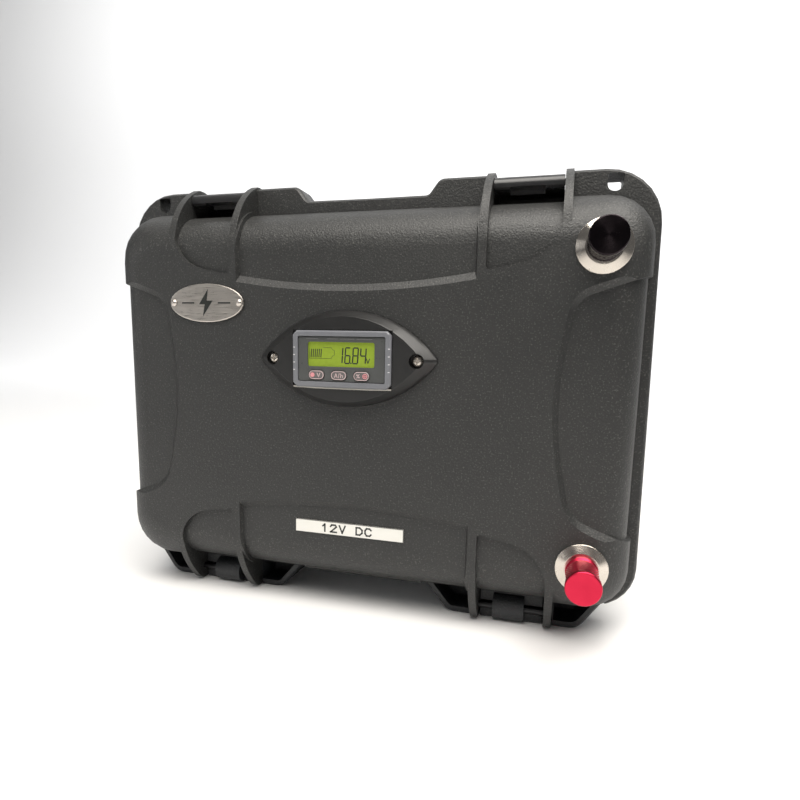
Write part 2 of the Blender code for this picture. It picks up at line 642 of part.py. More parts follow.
# ---------------------------------------------------------------- power terminals
def make_terminal(pole, knob_mat, cable_mat):
    x, z = TERMINAL_X, TERMINAL_Z[pole]
    cone = [(-0.25, 4.6), (-0.25, 14.2), (-0.6, 14.5), (-1.3, 14.5), (-1.6, 14.2), (-3.3, 9.9), (-3.5, 9.5), (-3.5, 4.6)]
    complete(turned("terminal_washer_" + pole, "y", x, z, cone, 32, True), stainless)
    stud = turned("terminal_stud_" + pole, "y", x, z, [(-23.4, 3.3), (-22.8, 3.9), (15.4, 3.9)], 20)
    add(stud, turned("head", "y", x, z, [(15.1, 7.2), (19.8, 7.2), (20.3, 6.6)], 6))
    complete(stud, zinc)
    nut = turned("terminal_nut_" + pole, "y", x, z, [(6.7, 6.9), (7.1, 7.3), (11.8, 7.3), (12.2, 6.9)], 6)
    cut(nut, turned("thread", "y", x, z, [(5.0, 4.15), (14.0, 4.15)], 20))
    complete(nut, zinc)
    ring = [(-3.8, 4.3), (-3.8, 8.7), (-4.0, 8.9), (-6.9, 8.9), (-8.1, 7.9), (-8.1, 4.3)]
    collar = turned("terminal_collar_" + pole, "y", x, z, ring, 28, True)
    complete(collar, knob_mat, (x, -3.8, z))
    knob = [(-8.4, 0.0), (-8.4, 7.4), (-9.4, 7.6), (-9.8, 8.6), (-23.9, 8.6), (-24.2, 8.2), (-24.8, 8.2)]
    knob += [(-25.1, 9.1), (-25.5, 9.4), (-28.6, 9.4), (-KNOB_OUT, 8.9), (-KNOB_OUT, 0.0)]
    knob = turned("terminal_knob_" + pole, "y", x, z, knob, 28)
    cut(knob, turned("bore", "y", x, z, [(-5.0, 4.3), (-24.0, 4.3), (-25.4, 0.0)], 20))
    complete(knob, knob_mat, (x, -8.4, z))


def make_lug(pole, mat):
    """Ring lug under the stud's head with its barrel pointing at the cable."""
    x, z = TERMINAL_X, TERMINAL_Z[pole]
    eye = [(12.5, 4.2), (12.5, 8.4), (14.8, 8.4), (14.8, 4.2)]
    lug = turned("lead_lug_" + pole, "y", x, z, eye, 24, True)
    if pole == "negative":
        foot = [(x - 7.0, z - 4.0), (x - 1.0, z - 8.2), (x - 10.2, z - 17.0), (x - 16.4, z - 17.0), (x - 16.4, z - 12.0)]
        add(lug, along_y("blade", foot, 12.6, 14.7))
        add(lug, turned("barrel", "z", x - 13.3, 13.65, [(z - 20.0, 3.1), (z - 15.0, 3.1)], 14))
    else:
        foot = [(x - 5.0, z - 6.0), (x + 5.0, z - 6.0), (x + 3.6, z - 16.4), (x - 3.6, z - 16.4)]
        add(lug, along_y("blade", foot, 12.6, 14.7))
        add(lug, turned("barrel", "y", x, z - 13.0, [(13.6, 3.1), (21.0, 3.1)], 14))
    return complete(lug, mat)


# ---------------------------------------------------------------- meter
def eye_outline(cx, cz, a, b, tip, n=14):
    """A pointed oval of half-length a and half-height b with small rounded tips."""
    top = arc3((cx - a, cz), (cx, cz + b), (cx + a, cz), n)
    bottom = arc3((cx + a, cz), (cx, cz - b), (cx - a, cz), n)
    pts = top + bottom[1:-1]
    radii = [0.0] * len(pts)
    radii[0] = tip
    radii[n] = tip
    return fillet(pts, radii, 4)


def make_bezel():
    levels = ((-0.25, 56.6, 28.7, 2.2), (-1.6, 56.4, 28.5, 2.2), (-3.4, 54.2, 27.6, 2.2), (-7.0, 48.9, 25.4, 2.2))
    rings = []
    for y, a, b, tip in levels + ((-7.5, 48.2, 24.9, 2.2),):
        rings.append([(x, y, z) for x, z in eye_outline(METER_X + 0.4, METER_Z, a, b, tip)])
    bezel = solid("display_bezel", rings)
    seat = [(METER_X - 31.1, METER_Z - 17.1), (METER_X + 31.1, METER_Z + 17.1)]
    tools = [box("seat", seat[0][0], seat[1][0], -9.0, -5.6, seat[0][1], seat[1][1])]
    tools.append(box("window", METER_X - 29.2, METER_X + 29.2, -8.0, 2.0, METER_Z - 15.2, METER_Z + 15.2))
    for side in (-1, 1):
        cx = METER_X + side * 45.0
        tools.append(turned("counterbore", "y", cx, METER_Z, [(-9.0, 4.3), (-2.6, 4.3)], 24))
        tools.append(turned("bore", "y", cx, METER_Z, [(-4.0, 1.9), (2.0, 1.9)], 12))
    cut(bezel, *tools)
    return complete(bezel, bezel_black, None, 40.0)


def make_screw(side, name):
    cx = METER_X + side * 45.0
    profile = [(-4.8, 1.8), (-4.4, 2.7), (-3.7, 3.3), (-2.9, 3.4), (-2.9, 1.6), (5.2, 1.6), (5.9, 0.9)]
    screw = turned(name, "y", cx, METER_Z, profile, 16)
    w, h = 1.9, 0.35
    cross = [(w, -h), (w, h), (h, h), (h, w), (-h, w), (-h, h), (-w, h), (-w, -h), (-h, -h), (-h, -w), (h, -w), (h, -h)]
    cut(screw, along_y("drive", [(cx + a, METER_Z + b) for a, b in cross], -6.0, -3.9))
    return complete(screw, stainless)


def chamfered(cx, cz, w, h, c):
    pts = []
    for sx, sz, swap in ((-1, -1, 0), (1, -1, 1), (1, 1, 0), (-1, 1, 1)):
        p = (cx + sx * w / 2.0, cz + sz * (h / 2.0 - c))
        q = (cx + sx * (w / 2.0 - c), cz + sz * h / 2.0)
        pts += [q, p] if swap else [p, q]
    return pts


def make_meter():
    rings = []
    for y, w, h, c in ((-6.0, METER_W, METER_H, 2.6), (-8.2, METER_W, METER_H, 2.6), (-9.0, METER_W - 1.6, METER_H - 1.6, 2.2)):
        rings.append([(x, y, z) for x, z in chamfered(METER_X, METER_Z, w, h, c)])
    housing = solid("meter_housing", rings)
    add(housing, box("can", METER_X - 28.7, METER_X + 28.7, -7.0, 13.6, METER_Z - 14.7, METER_Z + 14.7))
    tray = [
        [(x, -10.0, z) for x, z in rounded(METER_X - 27.2, METER_X + 27.2, METER_Z - 13.3, METER_Z + 13.3, 0.8, 2)],
        [(x, -4.7, z) for x, z in rounded(METER_X - 27.2, METER_X + 27.2, METER_Z - 13.3, METER_Z + 13.3, 0.8, 2)]]
    cut(housing, solid("tray", tray))
    cut(housing, box("plug", METER_X + 20.0, METER_X + 27.0, 9.0, 15.0, METER_Z - 6.0, METER_Z + 6.0))
    complete(housing, meter_grey)
    plate = along_y("meter_faceplate", rounded(METER_X - 26.9, METER_X + 26.9, METER_Z - 13.0, METER_Z + 13.0, 0.6, 2), -8.2, -7.3)
    tools = [along_y("window", rounded(METER_X - 21.0, METER_X + 20.6, METER_Z - 4.4, METER_Z + 10.0, 1.2, 3), -9.0, -6.0)]
    for i in range(3):
        cx = METER_X - 15.3 + 14.1 * i
        tools.append(along_y("hole", rounded(cx - 5.2, cx + 5.2, METER_Z - 12.4, METER_Z - 6.4, 2.98, 3), -9.0, -6.0))
    cut(plate, *tools)
    complete(plate, face_grey)
    lcd = along_y("meter_lcd", rounded(METER_X - 22.2, METER_X + 21.8, METER_Z - 5.6, METER_Z + 11.2, 0.5, 2), -7.0, -5.2)
    complete(lcd, lcd_green)
    for i, where in enumerate(("left", "middle", "right")):
        cx = METER_X - 15.3 + 14.1 * i
        pill = []
        for y, d in ((-5.7, 0.0), (-8.4, 0.0), (-8.8, 0.4)):
            shape = rounded(cx - 4.9 + d, cx + 4.9 - d, METER_Z - 12.1 + d, METER_Z - 6.7 - d, 2.68 - d, 3)
            pill.append([(x, y, z) for x, z in shape])
        complete(solid("meter_button_" + where, pill), button_grey, (cx, -5.7, METER_Z - 9.4))


# ---------------------------------------------------------------- badge and label
def make_badge():
    rings = []
    for y, d in ((-0.25, 0.0), (-1.1, 0.0), (-1.5, 0.4)):
        ring = []
        for k in range(36):
            t = 2.0 * math.pi * k / 36
            ring.append((BADGE_X + (26.4 - d) * math.cos(t), y, BADGE_Z + (12.0 - d) * math.sin(t)))
        rings.append(ring)
    plate = solid("badge_plate", rings)
    for side in (-1, 1):
        cut(plate, turned("bore", "y", BADGE_X + side * 23.4, BADGE_Z, [(-3.0, 1.3), (1.0, 1.3)], 12))
    complete(plate, badge_steel)
    for side, where in ((-1, "left"), (1, "right")):
        profile = [(-2.9, 0.0), (-2.8, 0.9), (-2.3, 1.9), (-1.75, 2.3), (-1.75, 1.05), (3.9, 1.05)]
        rivet = turned("badge_rivet_" + where, "y", BADGE_X + side * 23.4, BADGE_Z, profile, 12)
        complete(rivet, badge_steel)


def make_label():
    label = box("rating_label", -36.2, 36.0, 2.2, 2.8, -84.9, -76.4)
    return complete(label, label_white)


# ---------------------------------------------------------------- inside
def make_cells():
    for i in range(4):
        x0 = CELL_X0 + CELL_PITCH * i + 0.25
        cell = along_y("cell_%d" % (i + 1), rounded(x0, x0 + CELL_PITCH - 0.5, -80.0, 80.0, 2.5, 3), 31.5, 145.5)
        for side in (-1, 1):
            post = turned("post", "y", x0 + 24.75, side * 56.0, [(27.6, 4.6), (28.0, 5.0), (32.5, 5.0)], 16)
            add(cell, post)
        complete(cell, cell_blue)
    for name, x0 in (("end_plate_left", CELL_X0 - 3.3), ("end_plate_right", CELL_X0 + 200.3)):
        complete(along_y(name, rounded(x0, x0 + 3.0, -80.0, 80.0, 1.0, 2), 33.0, 144.0), plate_glass)
    for i, side in ((1, -1), (2, 1), (3, -1)):
        a = CELL_X0 + CELL_PITCH * (i - 0.5)
        shape = rounded(a - 9.0, a + 59.0, side * 56.0 - 8.5, side * 56.0 + 8.5, 6.0, 4)
        bar = along_y("busbar_%d" % i, shape, 24.8, 27.3)
        for cx in (a, a + 50.0):
            add(bar, turned("nut", "y", cx, side * 56.0, [(20.8, 5.2), (21.3, 5.8), (25.4, 5.8)], 6))
        complete(bar, copper)


def make_foam():
    tray = along_y("foam_tray", rounded(-155.5, 155.5, -108.0, 108.0, 14.0, 4), 62.0, 144.5)
    tools = [box("cells", -122.2, 86.4, 60.0, 150.0, -81.0, 81.0)]
    tools.append(box("parts", 90.4, 151.0, 60.0, 138.0, -99.0, 92.0))
    cut(tray, *tools)
    complete(tray, foam_grey)
    outline = [(-150.0, -99.5), (113.0, -99.5), (113.0, 2.0), (-40.0, 2.0), (-40.0, 50.0), (113.0, 50.0), (113.0, 99.5), (-150.0, 99.5)]
    pad = along_y("lid_pad", fillet(outline, [8.0, 3.0, 3.0, 3.0, 3.0, 3.0, 3.0, 8.0], 3), 8.2, 18.6)
    return complete(pad, foam_grey)


def make_electronics():
    case = along_x("bms_module", fillet([(66.0, -68.0), (131.0, -68.0), (131.0, 78.0), (66.0, 78.0)], 3.0, 3), 95.0, 108.0)
    for y in (76.0, 98.5, 121.0):
        cut(case, box("fin", 104.5, 110.0, y - 6.0, y + 6.0, -58.0, 68.0))
    complete(case, board_green)
    shunt = box("current_shunt", 114.0, 130.0, 70.0, 82.0, -72.0, -48.0)
    add(shunt, box("end", 114.0, 130.0, 70.0, 82.0, -14.0, 10.0))
    for y in (72.0, 75.2, 78.4):
        add(shunt, box("strip", 116.0, 128.0, y, y + 1.4, -49.0, -13.0))
    complete(shunt, brass)
    fuse = box("main_fuse", 120.0, 144.0, 92.0, 108.0, 16.0, 56.0)
    add(fuse, box("blade", 126.0, 138.0, 99.0, 102.0, 4.0, 68.0))
    complete(fuse, fuse_body)


def make_cables():
    """The three cables that cross from the base into the lid beside the hinge."""
    x = TERMINAL_X
    low = TERMINAL_Z["positive"] - 13.0
    path = bend([(134.0, 96.0, 2.4), (136.0, 88.0, -52.0), (x, 58.0, low), (x, 21.4, low)], 16.0, 5)
    complete(tube("lead_positive", path, 4.0, 8), cable_red)
    top = TERMINAL_Z["negative"] - 20.4
    path = [(122.0, 76.0, -72.4), (122.0, 76.0, -85.5), (124.0, 48.0, -98.0), (127.0, 13.65, -99.5), (127.0, 13.65, top)]
    complete(tube("lead_negative", bend(path, 9.0, 4), 4.0, 8), cable_black)
    path = [(METER_X + 22.0, 15.6, METER_Z), (METER_X + 34.0, 15.6, METER_Z), (112.0, 14.0, 20.0), (117.8, 13.6, -20.0)]
    path += [(117.8, 13.5, -96.0), (115.6, 44.0, -94.0), (111.8, 66.0, -80.0), (111.8, 70.0, -64.0)]
    complete(tube("meter_harness", bend(path, 8.0, 3), 1.5, 6), cable_grey)


make_lid()
make_base()
make_gasket()
make_latch(-1, "latch_left")
make_latch(1, "latch_right")
make_latch_guard(-1, "latch_guard_left")
make_latch_guard(1, "latch_guard_right")
for side, where in ((-1, "left"), (1, "right")):
    make_pin("latch_pin_" + where, LATCH_Y, LATCH_Z, side * 76.4, side * 121.8, 1.8)
    make_pin("hinge_pin_" + where, HINGE_Y, HINGE_Z, side * 77.8, side * 124.4, 2.1)
    make_pin("handle_pin_" + where, HANDLE_Y, HANDLE_Z, side * 53.8, side * 66.2, 2.0)
make_handle()
make_valve()
make_terminal("negative", black_alu, cable_black)
make_terminal("positive", red_alu, cable_red)
make_lug("negative", copper)
make_lug("positive", copper)
make_bezel()
make_screw(-1, "bezel_screw_left")
make_screw(1, "bezel_screw_right")
make_meter()
make_badge()
make_label()
make_cells()
make_foam()
make_electronics()
make_cables()
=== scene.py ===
"""The looks of a deep cycle battery in a latched hard case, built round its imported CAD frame.

The scene is in metres in the frame's own axes: x to the right of someone facing the lid, y from the lid to the
back, z up from the feet. Shapes made here are given in case millimetres, which at() turns into the frame's metres.
Each CAD node but the cables is shown by a welded copy with soft edges, the cables by bending tubes, and the markings,
the knobs' knurl and the meter's trim are pieces of their own."""
import json
import math

import bmesh
import bpy
from mathutils import Matrix, Vector


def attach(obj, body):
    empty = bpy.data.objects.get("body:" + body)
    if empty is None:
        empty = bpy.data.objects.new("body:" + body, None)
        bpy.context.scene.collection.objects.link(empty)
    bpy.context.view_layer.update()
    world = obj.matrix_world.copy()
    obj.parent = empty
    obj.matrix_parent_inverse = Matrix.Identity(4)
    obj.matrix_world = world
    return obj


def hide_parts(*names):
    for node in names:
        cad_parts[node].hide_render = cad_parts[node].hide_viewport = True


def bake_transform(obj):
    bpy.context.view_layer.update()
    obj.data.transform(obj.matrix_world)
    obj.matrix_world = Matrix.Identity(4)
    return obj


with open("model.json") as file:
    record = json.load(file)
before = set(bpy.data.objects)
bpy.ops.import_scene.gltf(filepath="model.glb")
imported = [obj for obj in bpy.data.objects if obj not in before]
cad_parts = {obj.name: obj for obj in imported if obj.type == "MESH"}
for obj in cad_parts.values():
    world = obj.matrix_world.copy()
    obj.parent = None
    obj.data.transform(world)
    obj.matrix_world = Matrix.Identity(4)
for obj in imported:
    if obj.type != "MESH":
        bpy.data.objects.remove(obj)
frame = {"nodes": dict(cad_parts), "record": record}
NODES = frame["nodes"]
SLOTS = {row["node"]: row["material_slot"] for row in frame["record"]["subparts"]}
BODY = {node: body for body, nodes in frame["record"]["behaviour"]["bodies"].items() for node in nodes}
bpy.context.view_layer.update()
MM = 0.001

# Places on the case, in case millimetres
FACE_Y = 61.4                           # how far the lid's face stands in front of the frame's middle
MIDDLE_Z = 137.6                        # the height of the case's middle over the floor
METER_Z = 26.2
BUTTON_Z = 16.8
BUTTON_X = {"left": -16.8, "middle": -2.7, "right": 11.4}
BADGE_X, BADGE_Z = -95.3, 59.1
LABEL_TEXT_X, LABEL_TEXT_Z = -17.8, -82.9
TERMINAL_X = 140.3
NEGATIVE_Z, POSITIVE_Z = 88.0, -86.7

# Shading
SHARP = 35.0                            # degrees between faces that keep an edge, on the pieces made here
CABLE_SHARP = 40.0
EDGE_ANGLE = 32.0                       # degrees between CAD faces whose edge is softened


# ---------------------------------------------------------------- node helpers
class Graph:
    """A small writer for one material's node tree."""

    INPUTS = {"base": "Base Color", "rough": "Roughness", "metal": "Metallic", "normal": "Normal",
              "coat": "Coat Weight", "aniso": "Anisotropic", "aniso_turn": "Anisotropic Rotation",
              "tangent": "Tangent", "emission": "Emission Color", "glow": "Emission Strength"}

    def __init__(self, name):
        self.material = bpy.data.materials.new(name)
        self.material.use_nodes = True
        self.tree = self.material.node_tree
        self.shader = self.tree.nodes["Principled BSDF"]
        self.coords = self.tree.nodes.new("ShaderNodeTexCoord").outputs["Object"]

    def node(self, kind, inputs=None, **settings):
        made = self.tree.nodes.new("ShaderNode" + kind)
        for key, value in settings.items():
            setattr(made, key, value)
        for key, value in (inputs or {}).items():
            self.put(value, made.inputs[key])
        return made

    def put(self, value, socket):
        if isinstance(value, bpy.types.NodeSocket):
            self.tree.links.new(value, socket)
        else:
            socket.default_value = value

    def set(self, **values):
        for key, value in values.items():
            self.put(value, self.shader.inputs[self.INPUTS[key]])

    def scaled(self, scale):
        return self.node("Mapping", {"Vector": self.coords, "Scale": scale}).outputs[0]

    def noise(self, size, detail=3.0, rough=0.5, vector=None):
        """Noise whose features are about this many metres across, from 0 to 1."""
        inputs = {"Vector": vector or self.coords, "Scale": 1.0 / size, "Detail": detail, "Roughness": rough}
        return self.node("TexNoise", inputs).outputs["Fac"]

    def cells(self, size, smooth):
        """Rounded cells about this many metres across."""
        inputs = {"Vector": self.coords, "Scale": 1.0 / size, "Smoothness": smooth}
        return self.node("TexVoronoi", inputs, feature="SMOOTH_F1").outputs["Distance"]

    def ramp(self, value, low, high, out_low, out_high):
        inputs = {"Value": value, "From Min": low, "From Max": high, "To Min": out_low, "To Max": out_high}
        return self.node("MapRange", inputs, clamp=True).outputs["Result"]

    def mix(self, factor, a, b):
        """A blend of two colours, each a socket or three numbers."""
        made = self.node("Mix", data_type="RGBA")
        self.put(factor, made.inputs["Factor"])
        for value, socket in ((a, made.inputs[6]), (b, made.inputs[7])):
            self.put(value + (1.0,) if isinstance(value, tuple) else value, socket)
        return made.outputs[2]

    def math(self, operation, a, b=0.0):
        made = self.node("Math", operation=operation)
        self.put(a, made.inputs[0])
        self.put(b, made.inputs[1])
        return made.outputs[0]

    def bump(self, height, depth):
        return self.node("Bump", {"Height": height, "Distance": depth, "Strength": 1.0}).outputs["Normal"]


def moulded(name, dark, light, rough, grain=0.9, depth=0.05, coat=0.0, glint_specks=0.0):
    """Moulded plastic: a pebbled grain in millimetres, handling marks, paler places and, if asked, pale specks that
    are painted glints on the grain.
    """
    smudge = 0.05
    glint_colour = (0.12, 0.12, 0.11)
    g = Graph(name)
    patch = g.noise(0.07, 4.0, 0.6)
    fine = g.noise(0.004, 5.0, 0.65)
    tone = g.ramp(g.math("ADD", patch, g.math("MULTIPLY", fine, 0.5)), 0.45, 1.05, 0.0, 1.0)
    base = g.mix(tone, dark, light)
    pebble = g.cells(grain * MM, 0.6)
    dust = g.noise(grain * 0.45 * MM, 2.0, 0.5)
    # pale specks in the colour: painted highlights standing in for the grain's tiny glints
    if glint_specks:
        glint_mask = g.ramp(g.noise(grain * 0.9 * MM, 1.0, 0.5), 0.58, 0.74, 0.0, glint_specks)
        base = g.mix(glint_mask, base, glint_colour)
    g.set(base=base)
    g.set(rough=g.ramp(g.math("ADD", patch, fine), 0.6, 1.4, rough - smudge, rough + smudge))
    height = g.math("ADD", g.math("MULTIPLY", pebble, -1.0), g.math("MULTIPLY", dust, 0.4))
    g.set(normal=g.bump(height, depth * MM), coat=coat)
    return g.material


def metal(name, dark, light, rough, grain_axis):
    """Machined or brushed metal whose marks run along one axis of the frame."""
    fineness, spread, depth = 0.25, 0.08, 0.004
    g = Graph(name)
    stretch = [1.0, 1.0, 1.0]
    stretch[grain_axis] = 0.03
    marks = g.noise(fineness * MM, 2.0, 0.6, g.scaled(stretch))
    cloud = g.noise(0.012, 3.0, 0.5)
    g.set(base=g.mix(g.ramp(g.math("ADD", marks, cloud), 0.6, 1.4, 0.0, 1.0), dark, light), metal=1.0)
    g.set(rough=g.ramp(marks, 0.3, 0.7, rough - spread, rough + spread), normal=g.bump(marks, depth * MM))
    return g.material


def turned_metal(name, dark, light, rough):
    """Metal faced on a lathe: its highlights are drawn out across rings round y."""
    aniso, spread = 0.85, 0.05
    g = Graph(name)
    cloud = g.noise(0.006, 3.0, 0.5)
    rings = g.noise(0.0004, 2.0, 0.6)
    g.set(base=g.mix(g.ramp(g.math("ADD", cloud, rings), 0.6, 1.4, 0.0, 1.0), dark, light), metal=1.0)
    g.set(rough=g.ramp(cloud, 0.3, 0.7, rough - spread, rough + spread), aniso=aniso, aniso_turn=0.25)
    g.set(tangent=g.node("Tangent", direction_type="RADIAL", axis="Y").outputs[0])
    return g.material


def inked(name, colour, rough, glow=0.0):
    """A flat printed or moulded colour, very slightly uneven, that may glow."""
    dimmer = tuple(c * 0.92 for c in colour)
    g = Graph(name)
    tone = g.mix(g.ramp(g.noise(0.002, 2.0, 0.5), 0.3, 0.7, 0.0, 1.0), dimmer, colour)
    g.set(base=tone, rough=rough)
    if glow:
        g.set(emission=tone, glow=glow)
    return g.material


# ---------------------------------------------------------------- shape helpers
def link(mesh, name):
    obj = bpy.data.objects.new(name, mesh)
    bpy.context.scene.collection.objects.link(obj)
    return obj


def refined(node, mat, soft_edge):
    """A welded copy of a CAD node with flat faces merged, its edges softened, standing for that node."""
    name = "fine_" + node
    bm = bmesh.new()
    bm.from_mesh(NODES[node].data)
    bmesh.ops.remove_doubles(bm, verts=bm.verts, dist=2e-6)
    bmesh.ops.dissolve_limit(bm, angle_limit=math.radians(0.4), verts=bm.verts, edges=bm.edges)
    for face in bm.faces:
        face.smooth = True
    mesh = bpy.data.meshes.new(name)
    bm.to_mesh(mesh)
    bm.free()
    obj = link(mesh, name)
    mesh.materials.append(mat)
    soft = obj.modifiers.new("edges", "BEVEL")
    soft.width = soft_edge * MM
    soft.segments = 2
    soft.limit_method = "ANGLE"
    soft.angle_limit = math.radians(EDGE_ANGLE)
    soft.use_clamp_overlap = True
    soft.harden_normals = False
    mesh.set_sharp_from_angle(angle=math.radians(EDGE_ANGLE))
    weighted = obj.modifiers.new("normals", "WEIGHTED_NORMAL")
    weighted.keep_sharp = False
    weighted.weight = 60
    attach(obj, BODY[node])
    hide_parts(node)
    return obj


def at(x, y, z):
    """Case millimetres (x right, y back from the lid's face, z up from the middle) to the frame's metres."""
    return Vector((x * MM, (y - FACE_Y) * MM, (z + MIDDLE_Z) * MM))


def shape(name, mat, bm, smooth, sharp):
    """An object from a closed shape drawn in case millimetres."""
    for v in bm.verts:
        v.co = at(*v.co)
    bmesh.ops.recalc_face_normals(bm, faces=bm.faces)
    for face in bm.faces:
        face.smooth = smooth
    mesh = bpy.data.meshes.new(name)
    bm.to_mesh(mesh)
    bm.free()
    mesh.materials.append(mat)
    mesh.set_sharp_from_angle(angle=math.radians(sharp))
    return link(mesh, name)


def piece(name, body, mat, bm, smooth=False):
    """A closed extra piece carried by a body."""
    obj = shape(name, mat, bm, smooth, SHARP)
    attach(obj, body)


def slab(bm, outline, y0, y1):
    """A prism along y between y0 and y1; outline holds (x, z) pairs."""
    front = [bm.verts.new((x, y0, z)) for x, z in outline]
    back = [bm.verts.new((x, y1, z)) for x, z in outline]
    bm.faces.new(front)
    bm.faces.new(list(reversed(back)))
    for i in range(len(outline)):
        j = (i + 1) % len(outline)
        bm.faces.new((front[j], front[i], back[i], back[j]))


def bar(bm, x0, z0, x1, z1, width, y0, y1):
    """A straight stroke from one point to another."""
    d = Vector((x1 - x0, z1 - z0)).normalized() * (width / 2.0)
    n = Vector((-d.y, d.x))
    ends = [(x0 - d.x + n.x, z0 - d.y + n.y), (x0 - d.x - n.x, z0 - d.y - n.y)]
    ends += [(x1 + d.x - n.x, z1 + d.y - n.y), (x1 + d.x + n.x, z1 + d.y + n.y)]
    slab(bm, ends, y0, y1)


def bars(bm, points, width, y0, y1):
    """Straight strokes from each point to the next."""
    for a, b in zip(points[:-1], points[1:]):
        bar(bm, *a, *b, width, y0, y1)


def pill(cx, cz, w, h, n=8):
    """The outline of a bar with round ends."""
    r = h / 2.0
    out = []
    for side in (1, -1):
        for k in range(n + 1):
            t = -math.pi / 2.0 + math.pi * k / n
            out.append((cx + side * (w / 2.0 - r + r * math.cos(t)), cz + side * r * math.sin(t)))
    return out


def disc(cx, cz, r, n=16):
    """A circle's outline."""
    return [(cx + r * math.cos(2 * math.pi * k / n), cz + r * math.sin(2 * math.pi * k / n)) for k in range(n)]


def hoop(bm, outer, inner, y0, y1):
    """A closed band between two outlines with the same number of points."""
    rings = []
    for outline, y in ((outer, y0), (inner, y0), (inner, y1), (outer, y1)):
        rings.append([bm.verts.new((x, y, z)) for x, z in outline])
    n = len(outer)
    for r in range(4):
        low, high = rings[r], rings[(r + 1) % 4]
        for i in range(n):
            j = (i + 1) % n
            bm.faces.new((low[i], low[j], high[j], high[i]))


def tube(bm, path, r, seg=10):
    """A round cable of radius r along a path of points."""
    pts = [Vector(p) for p in path]
    rings = []
    side = None
    for i, p in enumerate(pts):
        ahead = (pts[min(i + 1, len(pts) - 1)] - pts[max(i - 1, 0)]).normalized()
        if side is None:
            side = ahead.cross(Vector((0.3, 0.9, 0.2))).normalized()
        side = (side - ahead * side.dot(ahead)).normalized()
        up = ahead.cross(side)
        turn = [2.0 * math.pi * k / seg for k in range(seg)]
        rings.append([bm.verts.new(p + side * (r * math.cos(t)) + up * (r * math.sin(t))) for t in turn])
    for low, high in zip(rings[:-1], rings[1:]):
        for i in range(seg):
            j = (i + 1) % seg
            bm.faces.new((low[i], low[j], high[j], high[i]))
    bm.faces.new(rings[0])
    bm.faces.new(list(reversed(rings[-1])))


def curve(knots, r, n=8):
    """A polyline whose corners are arcs of radius r and whose straights are cut into steps of about 4 mm."""
    longest = 4.0
    pts = [Vector(k) for k in knots]
    out = [pts[0]]
    for i in range(1, len(pts) - 1):
        p = pts[i]
        a = (pts[i - 1] - p).normalized()
        b = (pts[i + 1] - p).normalized()
        half = a.angle(b) / 2.0
        centre = p + (a + b).normalized() * (r / math.sin(half))
        u = (p + a * (r / math.tan(half)) - centre).normalized()
        v = (p + b * (r / math.tan(half)) - centre).normalized()
        total = u.angle(v)
        w = (v - u * u.dot(v)).normalized()
        out += [centre + (u * math.cos(total * k / n) + w * math.sin(total * k / n)) * r for k in range(n + 1)]
    out.append(pts[-1])
    steps = [out[0]]
    for a, b in zip(out[:-1], out[1:]):
        count = max(1, int((b - a).length / longest))
        steps += [a.lerp(b, (k + 1) / count) for k in range(count)]
    return steps


# ---------------------------------------------------------------- materials
# the base's plastic is darker and bluer than the lid's: partly its own tone, partly painted shade for the shade over
# the feet and base
CASE_TONE_AND_SHADE = moulded("case_plastic_and_shade", (0.010, 0.0115, 0.014), (0.015, 0.0165, 0.019), 0.52, 1.1, 0.15, glint_specks=0.2)
LID = moulded("lid_plastic", (0.0145, 0.015, 0.015), (0.020, 0.0205, 0.020), 0.50, 1.1, 0.16, glint_specks=0.45)
LATCH = moulded("latch_plastic", (0.012, 0.012, 0.013), (0.018, 0.018, 0.019), 0.30, 1.2, 0.02)
HANDLE = moulded("handle_plastic", (0.015, 0.015, 0.016), (0.022, 0.022, 0.023), 0.42, 1.0, 0.03)
BEZEL = moulded("bezel_plastic", (0.008, 0.008, 0.008), (0.014, 0.014, 0.014), 0.38, 0.5, 0.015)
VALVE = moulded("valve_plastic", (0.020, 0.020, 0.021), (0.030, 0.030, 0.030), 0.45)
RUBBER = moulded("seal_rubber", (0.012, 0.012, 0.012), (0.022, 0.022, 0.022), 0.65, 0.6, 0.02)
PIN = metal("pin_metal", (0.03, 0.03, 0.032), (0.06, 0.06, 0.062), 0.40, 0)
# the washers' steel is tinted warm: partly its own colour, partly a painted reflection of warm surroundings
STAINLESS_AND_REFLECTION = turned_metal("washer_metal_and_reflection", (0.50, 0.46, 0.41), (0.66, 0.61, 0.55), 0.24)
ZINC = metal("zinc_metal", (0.50, 0.50, 0.48), (0.66, 0.66, 0.62), 0.32, 1)
RED = metal("red_metal", (0.50, 0.02, 0.05), (0.62, 0.03, 0.07), 0.36, 1)
BLACK = turned_metal("black_metal", (0.020, 0.016, 0.018), (0.030, 0.024, 0.027), 0.24)
FRAME_GREY = moulded("meter_plastic", (0.13, 0.135, 0.15), (0.17, 0.175, 0.19), 0.34, 0.6, 0.01)
PANEL_GREY = moulded("meter_panel", (0.055, 0.058, 0.058), (0.075, 0.078, 0.076), 0.30, 0.4, 0.004)
LCD = inked("meter_glass", (0.17, 0.235, 0.02), 0.25, 0.45)
BUTTON = moulded("button_rubber", (0.09, 0.085, 0.085), (0.13, 0.12, 0.12), 0.4, 0.4, 0.006)
BADGE = metal("badge_metal", (0.50, 0.46, 0.42), (0.66, 0.62, 0.57), 0.34, 0)
INK = inked("dark_ink", (0.012, 0.014, 0.012), 0.4)
PALE_INK = inked("pale_ink", (0.55, 0.42, 0.42), 0.5)
PINK_INK = inked("pink_ink", (0.62, 0.25, 0.27), 0.5)
TICK = inked("clear_tick", (0.62, 0.62, 0.62), 0.3)
SEALANT = inked("sealant", (0.42, 0.40, 0.36), 0.35)
LABEL = moulded("label_film", (0.74, 0.73, 0.68), (0.80, 0.79, 0.75), 0.45, 0.5, 0.004)
